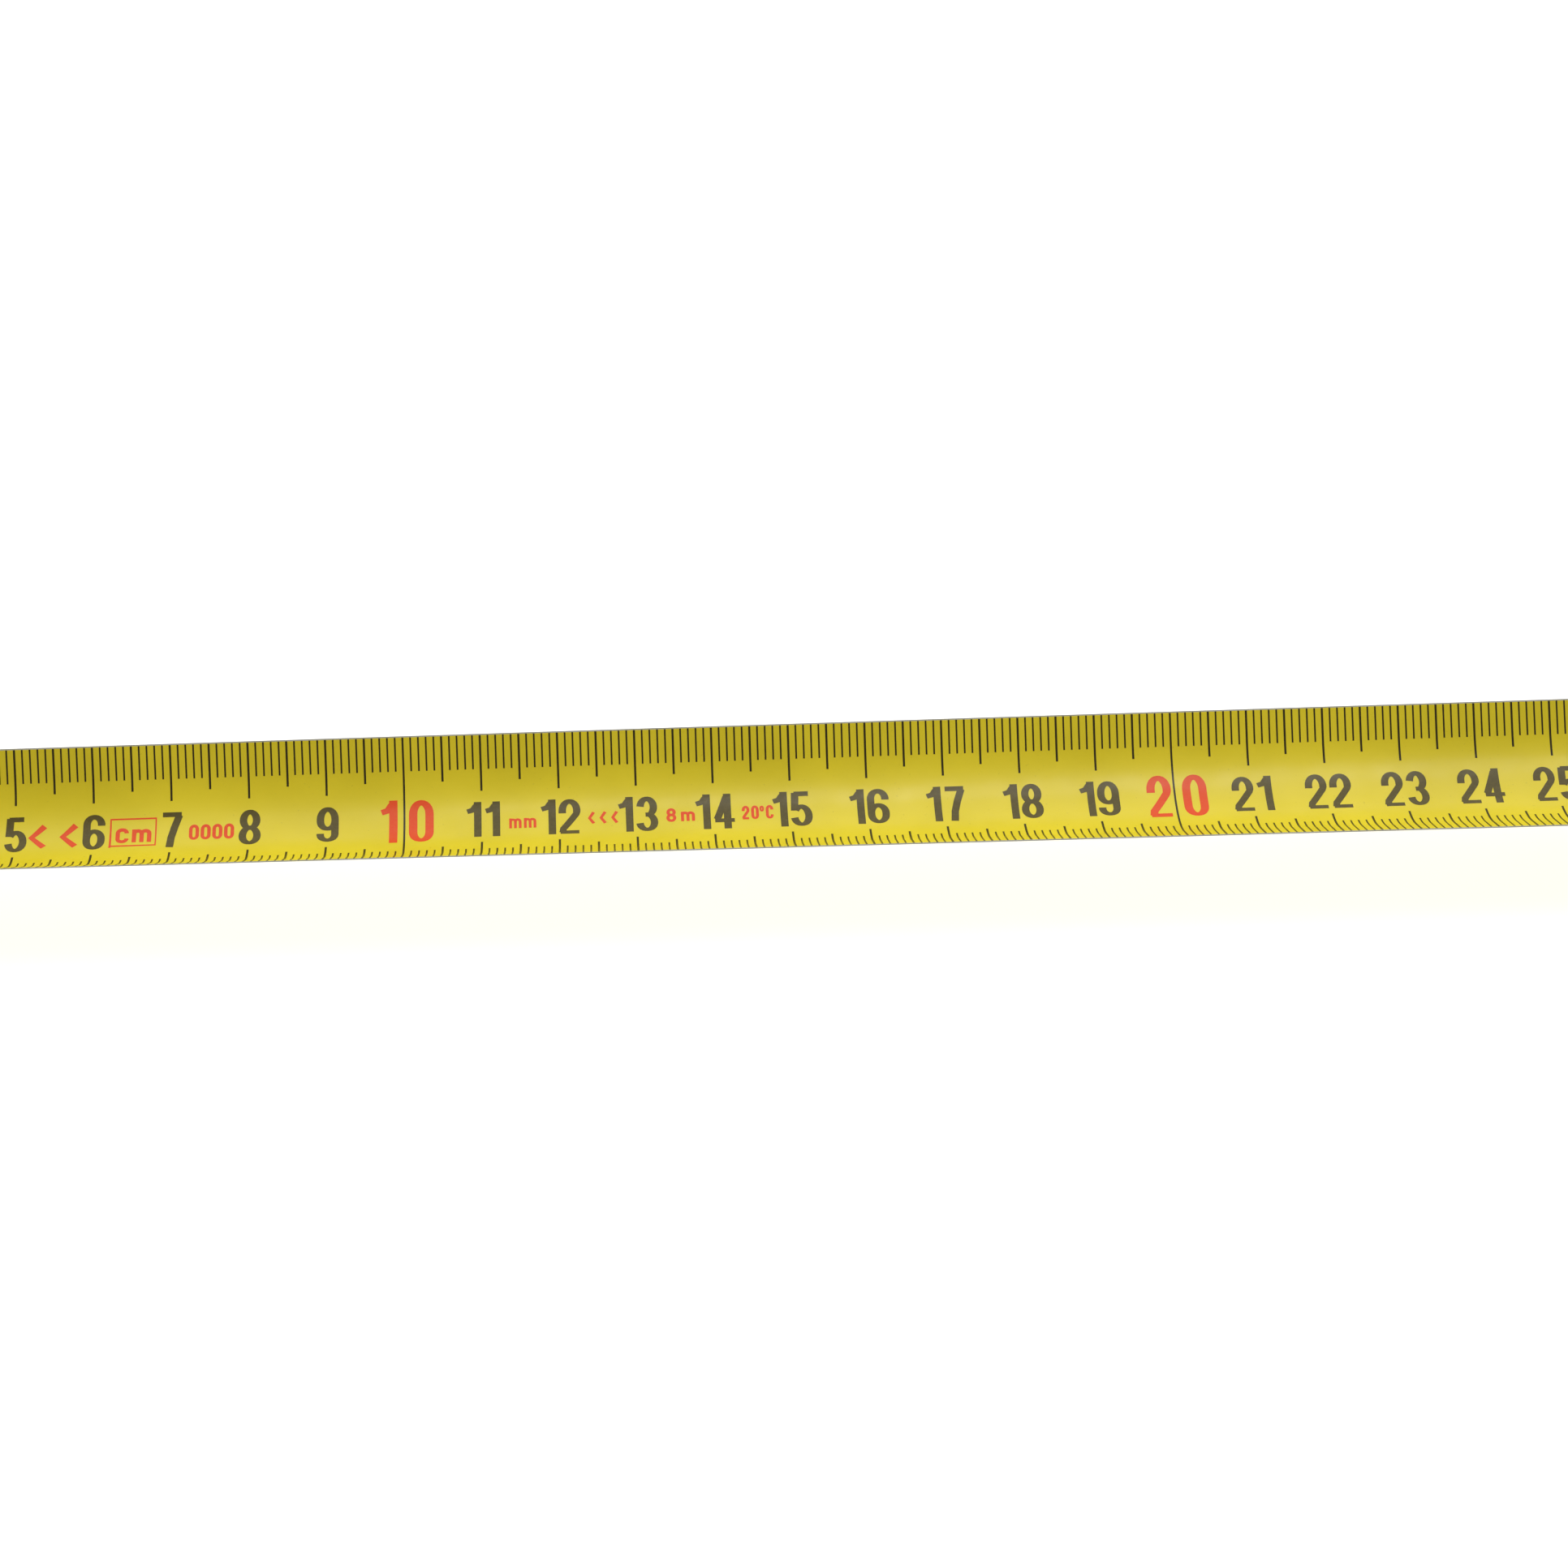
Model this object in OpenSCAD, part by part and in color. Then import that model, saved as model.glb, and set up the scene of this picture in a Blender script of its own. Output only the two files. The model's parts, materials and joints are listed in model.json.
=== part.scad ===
// Pocket tape measure: a sprung steel blade on a reel, in a two-shell case.
// Frame: origin under the reel's axis on the plane the case stands on, +Z up,
// the blade leaves towards -X, the belt clip is on the +Y side. Millimetres.

/* [Blade] */
// Width of the blade when flat
blade_width = 25; // [19:1:32]
// Thickness of the blade with its lacquer
blade_thickness = 0.16; // [0.12:0.02:0.3]
// Whole length of the blade
blade_length = 8000; // [5000:100:10000]
// Length drawn out of the case, from its nose to the zero mark
blade_out = 280; // [200:10:400]
// Radius of the curl across the middle of the blade
curl_radius = 11.3; // [9.5:0.1:16]
// Width of the flat flank along each edge of the blade
flank_width = 4; // [3:0.25:5]
// Height of the blade's underside above the base
exit_height = 9.4; // [8.8:0.2:12]

/* [Reel] */
// Radius of the drum that the blade winds on
drum_radius = 22.5; // [18:0.5:27]
// Thickness of the drum's wall
drum_wall = 1.4; // [1:0.1:2]
// Radial room that one turn of the wound blade takes
turn_pitch = 0.17; // [0.14:0.01:0.22]
// Thickness of each flange
flange_thickness = 1.2; // [1:0.1:1.8]
// Height of the flange above the wound blade
flange_lip = 1.2; // [0.8:0.1:2]
// Gap between the blade's edge and each flange
edge_gap = 0.5; // [0.3:0.1:1]
// Radius of the fixed post that holds the spring
arbor_radius = 4; // [3:0.25:5]
// Radius of the journals that the reel turns on
journal_radius = 7; // [6:0.25:9]
// Running clearance of the reel on its journals
running_gap = 0.06; // [0.02:0.01:0.1]

/* [Case] */
// Wall of the plastic shells
shell_wall = 2.2; // [1.6:0.1:3]
// Thickness of the rubber over the shells
grip_thickness = 2.4; // [1.6:0.1:3]
// Gap between a flange's rim and the shell
rim_gap = 1.2; // [0.8:0.1:2.5]
// Gap between a flange's face and the shell
side_gap = 0.8; // [0.5:0.1:1.5]
// Extra length of the case in front of the reel
nose_length = 8; // [7:0.5:12]
// Width of the rubber border on each side of the case
border_width = 6.5; // [5:0.5:9]
// Radius of the rubber's rounded edge
edge_radius = 3; // [1:0.25:3]
// Radius of the grooves in the rubber at the back
groove_radius = 1.1; // [0.8:0.1:1.4]
// Radius of the label on the left side
label_radius = 18; // [12:0.5:20]
// Radius of the wrist strap's hole
strap_hole_radius = 3; // [2.25:0.25:3.5]

/* [Lock] */
// Travel of the lock button
button_travel = 6; // [4:0.5:7]
// Length of the lock button along the slope
button_length = 22; // [20:1:25]
// Width of the lock button
button_width = 17; // [14:1:19]
// Height of the lock button above the rubber
button_height = 4.5; // [3:0.5:6]

/* [Hook] */
// Thickness of the end hook's steel
hook_thickness = 1; // [0.8:0.1:1.2]
// Half the width of the hook's plate
hook_half_width = 9; // [7:0.5:10]
// Length of the hook's tang under the blade
tang_length = 15; // [13:0.5:20]
// Radius of the rivets' shanks
rivet_radius = 1.1; // [0.9:0.1:1.4]
// Radius of the nail hole in the hook
nail_hole_radius = 1.6; // [1.2:0.1:1.8]

/* [Belt clip] */
// Thickness of the clip's spring steel
clip_thickness = 1; // [0.8:0.1:1.3]
// Width of the clip
clip_width = 20; // [16:1:26]
// Gap for a belt behind the clip
belt_gap = 5.4; // [4.6:0.2:7]
// Height of the clip's arm
clip_drop = 38; // [32:1:42]

/* [Hidden] */
$fn = 96;
eps = 0.01;

// Colours
shell_colour = [0.93, 0.74, 0.10];
rubber_colour = [0.09, 0.09, 0.10];
steel_colour = [0.72, 0.73, 0.75];
blade_colour = [0.90, 0.80, 0.12];
nylon_colour = [0.16, 0.16, 0.17];
button_colour = [0.75, 0.10, 0.07];

// Blade and reel
wound_length = blade_length - blade_out;
coil_radius = sqrt(pow(drum_radius, 2) + wound_length * turn_pitch / PI);
flange_radius = coil_radius + flange_lip;
coil_gap = 0.15;
lightening_radius = 2.6;
reel_z = exit_height + blade_thickness + coil_gap + coil_radius;
flange_inner = blade_width / 2 + edge_gap;
flange_outer = flange_inner + flange_thickness;
spring_pack_inner = 0.58 * drum_radius;

// Case, as half widths across Y and distances along X
cavity_half = flange_outer + side_gap;
shell_half = cavity_half + shell_wall;
grip_half = shell_half + grip_thickness * 0.75;
pocket_radius = flange_radius + rim_gap;
wall_stack = shell_wall + grip_thickness;
back_x = pocket_radius + wall_stack;
nose_x = -(pocket_radius + wall_stack + nose_length);
case_top = reel_z + pocket_radius + wall_stack;
brow_z = 0.57 * case_top;
slope_run = 0.29 * (back_x - nose_x);
slope_angle = atan2(case_top - brow_z, slope_run);
corner_steps = 14;
min_round = 0.6;
round_step = 18;
groove_pitch = 4.2;
groove_count = 8;
groove_depth = 0.8;
groove_x = back_x + groove_radius - groove_depth;
// [x, z, radius] of each corner of the side outline, anticlockwise seen from -Y
case_corners = [
    [nose_x, 0, 3],
    [back_x, 0, 9],
    [back_x, case_top, 27],
    [nose_x + slope_run, case_top, 14],
    [nose_x, brow_z, 5],
];

// Mouth
bed_gap = 0.25;
head_gap = 0.45;
edge_rise = blade_rise(curl_radius);
mouth_half = blade_reach(curl_radius) + 1.1;
mouth_top = exit_height + edge_rise + 2.2;
mouth_floor = exit_height - 2.4;
guide_setback = 1.2;
guide_length = wall_stack - guide_setback;

// Lock
button_lift = 0.3;
button_clear = 0.35;
rib_pitch = 2.6;
rib_radius = 1;
rib_raise = 0.4;
slot_half = 4.2;
stem_half = slot_half - button_clear;
stem_length = 6;
stem_start = 3.2;
stem_depth = wall_stack + 2.6;
stem_play = 0.15;
stem_foot = [nose_x + stem_start * cos(slope_angle) + stem_depth * sin(slope_angle),
             brow_z + stem_start * sin(slope_angle) - stem_depth * cos(slope_angle)];
lever_half = 5.5;
lever_x = nose_x + wall_stack + 1.2;
lever_thickness = stem_foot[0] - lever_x + 1.4;
lever_top = stem_foot[1] - stem_play;
foot_height = 3;
pad_length = 8;
pad_x = nose_x + tang_length + 1.5;
pad_height = 3;
pad_gap = 0.12;
pad_base = exit_height + pad_height + blade_thickness + pad_gap;

// Screws and the strap's hole: [x, z]
screw_shank = 1.2;
screw_head = 2.3;
screw_head_height = 1.5;
screw_gap = 0.05;
recess_depth = 0.9;
recess_size = 2.6;
boss_radius = 2.8;
strap_rim = 1.6;
strap_inset = wall_stack + strap_hole_radius + 1.4;
strap_spot = [back_x - strap_inset, strap_inset];
screw_spots = [
    [back_x - 18.5, 7.6],
    [back_x - 11.4, case_top - 11.4],
    [nose_x + slope_run + 1.6, case_top - 6.9],
    [lever_x + lever_thickness + boss_radius + 0.9, 25],
];

// Hook
zero_x = nose_x - blade_out;
tip_x = zero_x + hook_thickness + 0.2;
tang_gap = 0.06;
hook_foot = 0.9;
rivet_head = 2.1;
rivet_head_height = 0.6;
slot_play = 0.15;
// Drop of a round face under a flat head of that radius
function seat(face_radius, head_radius) = face_radius - sqrt(pow(face_radius, 2) - pow(head_radius, 2));
// Top of the rivets' upper heads above the blade's underside
rivet_top = blade_thickness + seat(curl_radius, rivet_head) + tang_gap + rivet_head_height;
// [distance from the zero mark, degrees round the curl]
rivet_spots = [[6.2, -21], [6.2, 21], [11.2, 0]];
bumper_out = 1;

// Belt clip
clip_top = reel_z + 21;
clip_fold = clip_top - 9;
tab_foot = clip_fold + clip_thickness / 2 + 0.3;
clip_pivot = [shell_half + clip_thickness / 2 + 0.3, clip_fold];

// ---- shared shapes ----

function unit(v) = v / norm(v);

// Points of the arc of radius r that rounds corner c between its neighbours p and q
function corner_arc(p, c, q, r) =
    let (a = unit(p - c), b = unit(q - c), half = acos(a * b) / 2)
    let (centre = c + unit(a + b) * r / sin(half))
    let (from = c + a * r / tan(half) - centre, to = c + b * r / tan(half) - centre)
    let (start = atan2(from[1], from[0]), turn = atan2(to[1], to[0]) - start)
    let (sweep = turn > 180 ? turn - 360 : turn < -180 ? turn + 360 : turn)
    [for (i = [0:corner_steps]) centre + r * [cos(start + sweep * i / corner_steps),
                                              sin(start + sweep * i / corner_steps)]];

// The case's side outline, moved inwards by inset
function moved_corner(i, inset) =
    let (n = len(case_corners), at = case_corners[i])
    let (c = [at[0], at[1]], before = case_corners[(i + n - 1) % n], after = case_corners[(i + 1) % n])
    let (a = unit([before[0], before[1]] - c), b = unit([after[0], after[1]] - c))
    let (half = acos(a * b) / 2)
    c + unit(a + b) * inset / sin(half);
function outline(inset) =
    let (n = len(case_corners))
    let (c = [for (i = [0:n - 1]) moved_corner(i, inset)])
    [for (i = [0:n - 1]) each corner_arc(c[(i + n - 1) % n], c[i], c[(i + 1) % n],
                                         max(case_corners[i][2] - inset, min_round))];

// A side outline in XZ, extruded from y0 to y1
module across(y0, y1) {
    translate([0, y1, 0]) rotate([90, 0, 0]) linear_extrude(y1 - y0) children();
}

// A cross-section in YZ, extruded from x0 to x1
module along(x0, x1) {
    translate([x0, 0, 0]) rotate([90, 0, 90]) linear_extrude(x1 - x0) children();
}

// Blade cross-section: an arc with a flat flank on each side. u runs across the flat
// width, lift moves the point towards the hollow side. Returns [y, z above exit_height].
function arc_half(r) = (blade_width / 2 - flank_width) / r * 180 / PI;
function section_point(u, lift, r) =
    let (a = min(max(u / r * 180 / PI, -arc_half(r)), arc_half(r)))
    let (rest = u - a * PI / 180 * r)
    [r * sin(a) + rest * cos(a) - lift * sin(a), r * (1 - cos(a)) + rest * sin(a) + lift * cos(a)];
function blade_rise(r) = section_point(blade_width / 2, 0, r)[1];
function blade_reach(r) = section_point(blade_width / 2, 0, r)[0];
section_steps = 20;
function section_line(half, lift, r) =
    [for (i = [0:section_steps]) section_point(half * (2 * i / section_steps - 1), lift, r)];
function reversed(list) = [for (i = [len(list) - 1:-1:0]) list[i]];
function raised(points) = [for (p = points) [p[0], p[1] + exit_height]];

// A strip that lies on the blade's section between two lifts
module curled_strip(half, low, high) {
    polygon(raised(concat(section_line(half, low, curl_radius),
                          reversed(section_line(half, high, curl_radius)))));
}

// Something set square to the curl at a distance x from the zero mark
module on_curl(x, angle) {
    translate([zero_x + x, 0, exit_height + curl_radius])
        rotate([angle, 0, 0]) translate([0, 0, -curl_radius]) children();
}

// Something on the slope above the nose, s up from its foot: X runs up the slope, Z out of it
module on_slope(s) {
    translate([nose_x, 0, brow_z]) rotate([0, -slope_angle, 0]) translate([s, 0, 0]) children();
}

// ---- case ----

module screw_bosses() {
    for (p = screw_spots) translate(p) circle(boss_radius);
    translate(strap_spot) circle(strap_hole_radius + strap_rim);
}

module cavity_2d() {
    difference() {
        polygon(outline(wall_stack));
        screw_bosses();
    }
}

module strap_hole() {
    across(-grip_half - 1, grip_half + 1) translate(strap_spot) circle(strap_hole_radius);
}

module mouth_cut() {
    translate([nose_x - 1, -mouth_half, mouth_floor])
        cube([wall_stack + 1.5, 2 * mouth_half, mouth_top - mouth_floor]);
}

// The slot that the button's stem runs in, seen square to the slope
module slope_slot(half, extra) {
    on_slope(stem_start - extra)
        translate([0, -half, -wall_stack - 2])
            cube([stem_length + button_travel + 2 * extra, 2 * half, wall_stack + 4]);
}

// Both shells share this: sign -1 is the left shell, 1 the right
module shell(sign) {
    y0 = sign < 0 ? -shell_half : 0;
    inner0 = sign < 0 ? -cavity_half : -1;
    difference() {
        across(y0, y0 + shell_half) polygon(outline(grip_thickness));
        across(inner0, inner0 + cavity_half + 1) cavity_2d();
        mouth_cut();
        slope_slot(slot_half, button_clear);
        strap_hole();
        if (sign < 0) label_recess();
        for (p = screw_spots)
            across(-cavity_half + 1, shell_half + 1) translate(p) circle(screw_shank + screw_gap);
        for (p = screw_spots)
            across(shell_half - screw_head_height - screw_gap, shell_half + 1)
                translate(p) circle(screw_head + screw_gap);
        across(cavity_half - 1, shell_half + 1) translate([0, reel_z]) circle(screw_shank + screw_gap);
        clip_screw_hole();
    }
    difference() {
        across(sign < 0 ? -cavity_half - eps : flange_inner - 0.6,
               sign < 0 ? -flange_inner + 0.6 : cavity_half + eps)
            translate([0, reel_z]) circle(journal_radius);
        at_reel(-cavity_half, cavity_half) circle(arbor_radius + screw_gap);
        at_reel(-cavity_half - 1, cavity_half + 1) circle(screw_shank + screw_gap);
    }
}

label_depth = 0.5;
module label_recess() {
    at_reel(-shell_half - 1, -shell_half + label_depth) circle(label_radius + screw_gap);
}

module case_left() {
    color(shell_colour) shell(-1);
}

module case_right() {
    color(shell_colour) shell(1);
}

// Rubber over one shell: a wrap round the outline and a border on the side
module grip(sign) {
    difference() {
        rounded_half(sign);
        grip_layer(sign, shell_half, grip_thickness);
        grip_layer(sign, grip_half + 1, border_width);
        mouth_cut();
        bumper_block(0.05);
        slope_slot(slot_half, button_clear);
        across(-grip_half - 1, grip_half + 1) translate(strap_spot) circle(strap_hole_radius + strap_rim);
        for (p = screw_spots)
            across(shell_half - eps, grip_half + 1) translate(p) circle(screw_head + 0.5);
        for (i = [0:groove_count - 1])
            across(-grip_half - 1, grip_half + 1)
                translate([groove_x, reel_z + groove_pitch * (i - groove_count * 0.75)])
                    circle(groove_radius);
    }
}

// From the parting plane out to a distance along Y
module grip_layer(sign, far, inset) {
    near = -sign * eps;
    across(min(near, sign * far), max(near, sign * far)) polygon(outline(inset));
}

// Half of the case's whole shape, with its outer edge rounded
module rounded_half(sign) {
    hull() for (a = [0:round_step:90]) {
        y = sign * (grip_half - edge_radius * (1 - sin(a)));
        across(min(0, y), max(0, y)) polygon(outline(edge_radius * (1 - cos(a))));
    }
}

module grip_left() {
    color(rubber_colour) grip(-1);
}

module grip_right() {
    color(rubber_colour) grip(1);
}

module label() {
    color("silver") at_reel(-shell_half + 0.05, -shell_half + label_depth) circle(label_radius);
}

module cross_recess(depth, size) {
    for (turn = [0, 90]) rotate([0, 0, turn])
        translate([-size / 2, -size / 8, -depth]) cube([size, size / 4, depth + 1]);
}

// A pan-head screw whose head's top is at the origin, running down -Z
module screw(length) {
    difference() {
        union() {
            translate([0, 0, -screw_head_height]) cylinder(r = screw_head, h = screw_head_height);
            translate([0, 0, -screw_head_height - length]) cylinder(r = screw_shank, h = length + eps);
        }
        cross_recess(recess_depth, recess_size);
    }
}

module facing_y(x, y, z) {
    translate([x, y, z]) rotate([-90, 0, 0]) children();
}

module case_screws() {
    color(steel_colour) for (p = screw_spots)
        facing_y(p[0], shell_half, p[1]) screw(shell_half + cavity_half - 4);
}

// ---- mouth ----

// Upper guide of the mouth, rounded to fill the blade's hollow
module mouth_guide() {
    color(nylon_colour) intersection() {
        translate([nose_x + guide_setback, -mouth_half + 0.1, exit_height])
            cube([guide_length, 2 * mouth_half - 0.2, mouth_top - exit_height - 0.1]);
        along(nose_x, nose_x + guide_length + guide_setback + 1)
            curled_strip(blade_width / 2 - 0.8, rivet_top + head_gap,
                         edge_rise + 4);
    }
}

// Anvil under the blade that the brake presses it against, hollowed to the blade's curl
module blade_bed() {
    color(nylon_colour) difference() {
        translate([pad_x - 0.5, -lever_half - 2, wall_stack])
            cube([pad_length + 1, 2 * lever_half + 4, exit_height + 1.4 - wall_stack]);
        along(pad_x - 1, pad_x + pad_length + 1)
            polygon(raised(concat(section_line(blade_width / 2, -bed_gap, opened_radius(pad_x + pad_length)),
                                  [[blade_width, 30], [-blade_width, 30]])));
    }
}

module bumper_block(grow) {
    translate([nose_x - bumper_out - grow, -hook_half_width - 0.5 - grow, 1.8 - grow])
        cube([bumper_out + 1.6 + 2 * grow, 2 * hook_half_width + 1 + 2 * grow,
              mouth_floor - 2.2 + 2 * grow]);
}

// Rubber stop under the mouth that the hook lands on
module hook_bumper() {
    color("dimgray") bumper_block(0);
}

// ---- reel ----

module at_reel(y0, y1) {
    across(y0, y1) translate([0, reel_z]) children();
}

module flange_2d() {
    difference() {
        circle(flange_radius);
        circle(journal_radius + running_gap);
        for (i = [0:5]) rotate(60 * i) translate([(journal_radius + drum_radius - drum_wall) / 2, 0])
            circle(lightening_radius);
    }
}

// Drum with its left flange, which holds the spring
module reel_drum() {
    color(nylon_colour) {
        at_reel(-flange_outer, -flange_inner) flange_2d();
        difference() {
            at_reel(-flange_inner - eps, flange_inner) difference() {
                circle(drum_radius);
                circle(drum_radius - drum_wall);
            }
            translate([0, 0, reel_z + drum_radius - drum_wall - 1])
                cylinder(r = rivet_radius + screw_gap, h = drum_wall + 2);
        }
    }
}

// Right flange, pressed on the drum
module reel_cover() {
    color(nylon_colour) at_reel(flange_inner, flange_outer) flange_2d();
}

// Joins the blade's tail and the spring's outer end to the drum
module tail_rivet() {
    inner = drum_radius - drum_wall;
    head_z = inner - seat(inner, rivet_head) - rivet_head_height;
    color(steel_colour) translate([0, 0, reel_z + head_z]) {
        cylinder(r = rivet_head, h = rivet_head_height);
        cylinder(r = rivet_radius, h = drum_radius - seat(drum_radius, rivet_radius) - head_z);
    }
}

// The wound turns of the blade
module blade_coil() {
    color(blade_colour) at_reel(-blade_width / 2, blade_width / 2) difference() {
        circle(coil_radius);
        circle(drum_radius);
    }
}

spring_strip = 0.3;
spring_turns = 4;
spring_outer = drum_radius - drum_wall - rivet_head_height - 0.5;
function spiral(t, offset) =
    let (r = arbor_radius + 0.3 + (spring_pack_inner - arbor_radius - 0.3) * t + offset)
    r * [cos(360 * spring_turns * t), sin(360 * spring_turns * t)];
spiral_steps = 22 * spring_turns;

// Power spring: the turns packed in the drum, and the open turns that lead to the arbor
module return_spring() {
    half = blade_width / 2 - 1.5;
    color([0.35, 0.36, 0.40]) {
        at_reel(-half, half) difference() {
            circle(spring_outer);
            circle(spring_pack_inner);
        }
        at_reel(-half, half)
            polygon(concat([for (i = [0:spiral_steps]) spiral(i / spiral_steps, 0)],
                           [for (i = [spiral_steps:-1:0]) spiral(i / spiral_steps, spring_strip)]));
    }
}

// Fixed post, slotted for the spring's inner end
module arbor() {
    color(steel_colour) difference() {
        at_reel(-cavity_half, cavity_half) circle(arbor_radius);
        at_reel(-flange_inner + 2, flange_inner - 2) translate([-0.5, 0]) square([1, arbor_radius + 1]);
        facing_y(0, cavity_half + 1, reel_z) mirror([0, 0, 1]) cylinder(r = screw_shank + screw_gap, h = 12);
    }
}

module arbor_screw() {
    color(steel_colour) facing_y(0, shell_half - label_depth - 0.05, reel_z) difference() {
        union() {
            translate([0, 0, -0.6]) cylinder(r = screw_shank, h = 0.6);
            translate([0, 0, -shell_wall - 8]) cylinder(r = screw_shank, h = shell_wall + 8);
        }
        cross_recess(0.8, 1.8);
    }
}

// ---- blade ----

// How far the curl has opened at x: 0 outside the case, 1 near where the blade meets the coil
open_start = pad_x;
open_end = -9;
function opening(x) =
    let (t = min(max((x - open_start) / (open_end - open_start), 0), 1))
    t * t * (3 - 2 * t);
function opened_radius(x) = curl_radius / max(1 - opening(x), 0.001);
open_steps = 8;
blade_stations = concat([tip_x],
                        [for (i = [0:open_steps]) open_start + (open_end - open_start) * i / open_steps],
                        [0]);

// Straight run of the blade, from the tip to where it meets the coil
module blade_run() {
    rings = [for (x = blade_stations) let (r = opened_radius(x))
        [for (p = raised(concat(section_line(blade_width / 2, 0, r),
                                reversed(section_line(blade_width / 2, blade_thickness, r)))))
            [x, p[0], p[1]]]];
    m = len(rings[0]);
    last = len(rings) - 1;
    sides = [for (k = [0:last - 1], i = [0:m - 1])
        let (j = (i + 1) % m)
        [k * m + i, k * m + j, (k + 1) * m + j, (k + 1) * m + i]];
    cap = [for (i = [0:section_steps - 1]) [i, i + 1, m - 2 - i, m - 1 - i]];
    polyhedron([for (ring = rings) each ring],
               concat([for (q = sides) each [[q[0], q[2], q[1]], [q[0], q[3], q[2]]]],
                      [for (q = cap) each [[q[0], q[1], q[2]], [q[0], q[2], q[3]]]],
                      [for (q = cap) each [[q[2], q[1], q[0]] + last * m * [1, 1, 1],
                                           [q[3], q[2], q[0]] + last * m * [1, 1, 1]]]));
}

module blade() {
    color(blade_colour) difference() {
        blade_run();
        for (s = rivet_spots) on_curl(s[0], s[1])
            translate([0, 0, -1]) cylinder(r = rivet_radius + screw_gap, h = 2, $fn = 32);
    }
}

// Rivets fixed in the blade, with room under their lower heads for the hook's tang
module hook_rivets() {
    low = -hook_thickness - 2 * tang_gap - rivet_head_height;
    high = blade_thickness + seat(curl_radius - blade_thickness, rivet_head) + tang_gap;
    color(steel_colour) for (s = rivet_spots) on_curl(s[0], s[1]) {
        translate([0, 0, high]) cylinder(r = rivet_head, h = rivet_head_height, $fn = 32);
        translate([0, 0, low]) cylinder(r = rivet_radius, h = high - low + rivet_head_height, $fn = 32);
        translate([0, 0, low]) cylinder(r = rivet_head, h = rivet_head_height, $fn = 32);
    }
}

// Hook plate seen from its front: it follows the curl above and is square below
module hook_plate_2d() {
    union() {
        curled_strip(hook_half_width + 1.2, -hook_thickness - tang_gap, blade_thickness + 0.5);
        difference() {
            translate([-hook_half_width + 1, hook_foot])
                square([2 * hook_half_width - 2, exit_height - hook_foot + 1.6]);
            polygon(raised(concat(section_line(hook_half_width + 2, 0, curl_radius),
                                  [[hook_half_width + 2, 20], [-hook_half_width - 2, 20]])));
        }
        translate([-hook_half_width, hook_foot]) square([2 * hook_half_width, 5.2]);
    }
}

// End hook: a plate across the blade's end and a curled tang under the blade, slotted for
// the rivets so that the plate can move by its own thickness
module end_hook() {
    color(steel_colour) difference() {
        union() {
            along(zero_x - hook_thickness, zero_x) difference() {
                hook_plate_2d();
                translate([0, hook_foot + 3.2]) circle(nail_hole_radius);
            }
            along(zero_x - eps, zero_x + tang_length)
                curled_strip(hook_half_width - 0.5, -hook_thickness - tang_gap, -tang_gap);
        }
        for (s = rivet_spots) on_curl(s[0], s[1]) rivet_slot(rivet_radius + slot_play);
    }
}

module rivet_slot(r) {
    for (dx = [-hook_thickness, 0]) translate([dx, 0, -4]) cylinder(r = r, h = 5, $fn = 32);
    translate([-hook_thickness, -r, -4]) cube([hook_thickness, 2 * r, 5]);
}

// ---- lock ----

// Thumb button that slides on the slope, with a stem through the slot
module lock_button() {
    dome = button_length * 0.95;
    color(button_colour) on_slope(stem_start - 0.5) {
        difference() {
            intersection() {
                translate([0, -button_width / 2, button_lift])
                    cube([button_length, button_width, button_height]);
                translate([button_length / 2, 0, button_lift + button_height - dome])
                    rotate([90, 0, 0]) cylinder(r = dome, h = button_width + 2, center = true);
            }
            for (i = [-2:2]) rotate([90, 0, 0])
                translate([button_length / 2 + i * rib_pitch,
                           button_lift + button_height - seat(dome, abs(i * rib_pitch)) + rib_raise])
                    cylinder(r = rib_radius, h = button_width - 4, center = true);
        }
        translate([0.5, -stem_half, -stem_depth]) cube([stem_length, 2 * stem_half, stem_depth + 1]);
    }
}

// Bar in the nose that the stem bears on, with a foot over the blade
module brake_lever() {
    color(nylon_colour) {
        translate([lever_x, -lever_half, pad_base])
            cube([lever_thickness, 2 * lever_half, lever_top - pad_base]);
        translate([lever_x, -lever_half, pad_base])
            cube([pad_x - lever_x + pad_length, 2 * lever_half, foot_height]);
    }
}

// Rubber pad under the lever's foot, rounded to the blade's hollow
module brake_pad() {
    color("black") intersection() {
        translate([pad_x, -lever_half, exit_height])
            cube([pad_length, 2 * lever_half, pad_base - exit_height]);
        along(pad_x - 1, pad_x + pad_length + 1)
            polygon(raised(concat(section_line(lever_half + 1, blade_thickness + pad_gap, curl_radius),
                                  [[lever_half + 1, 20], [-lever_half - 1, 20]])));
    }
}

// Leaf spring behind the lever that lifts the brake
module lock_spring() {
    color(steel_colour)
        translate([lever_x + lever_thickness + 0.05, -3, screw_spots[3][1] + boss_radius + 0.8])
            cube([0.4, 6, 9]);
}

// ---- belt clip ----

module clip_screw_hole() {
    facing_y(0, cavity_half - 0.5, clip_top - 4) cylinder(r = screw_shank + screw_gap, h = shell_wall + 2);
}

// Flat end of the clip, screwed to the right shell
module clip_tab() {
    color(steel_colour) difference() {
        translate([-clip_width / 2, shell_half + 0.02, tab_foot])
            cube([clip_width, clip_thickness, clip_top - tab_foot]);
        facing_y(0, shell_half - 1, clip_top - 4) cylinder(r = screw_shank + screw_gap, h = 4);
    }
}

module clip_screw() {
    color(steel_colour) facing_y(0, shell_half + clip_thickness + 0.04 + screw_head_height, clip_top - 4)
        screw(clip_thickness + shell_wall - 0.3);
}

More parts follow.
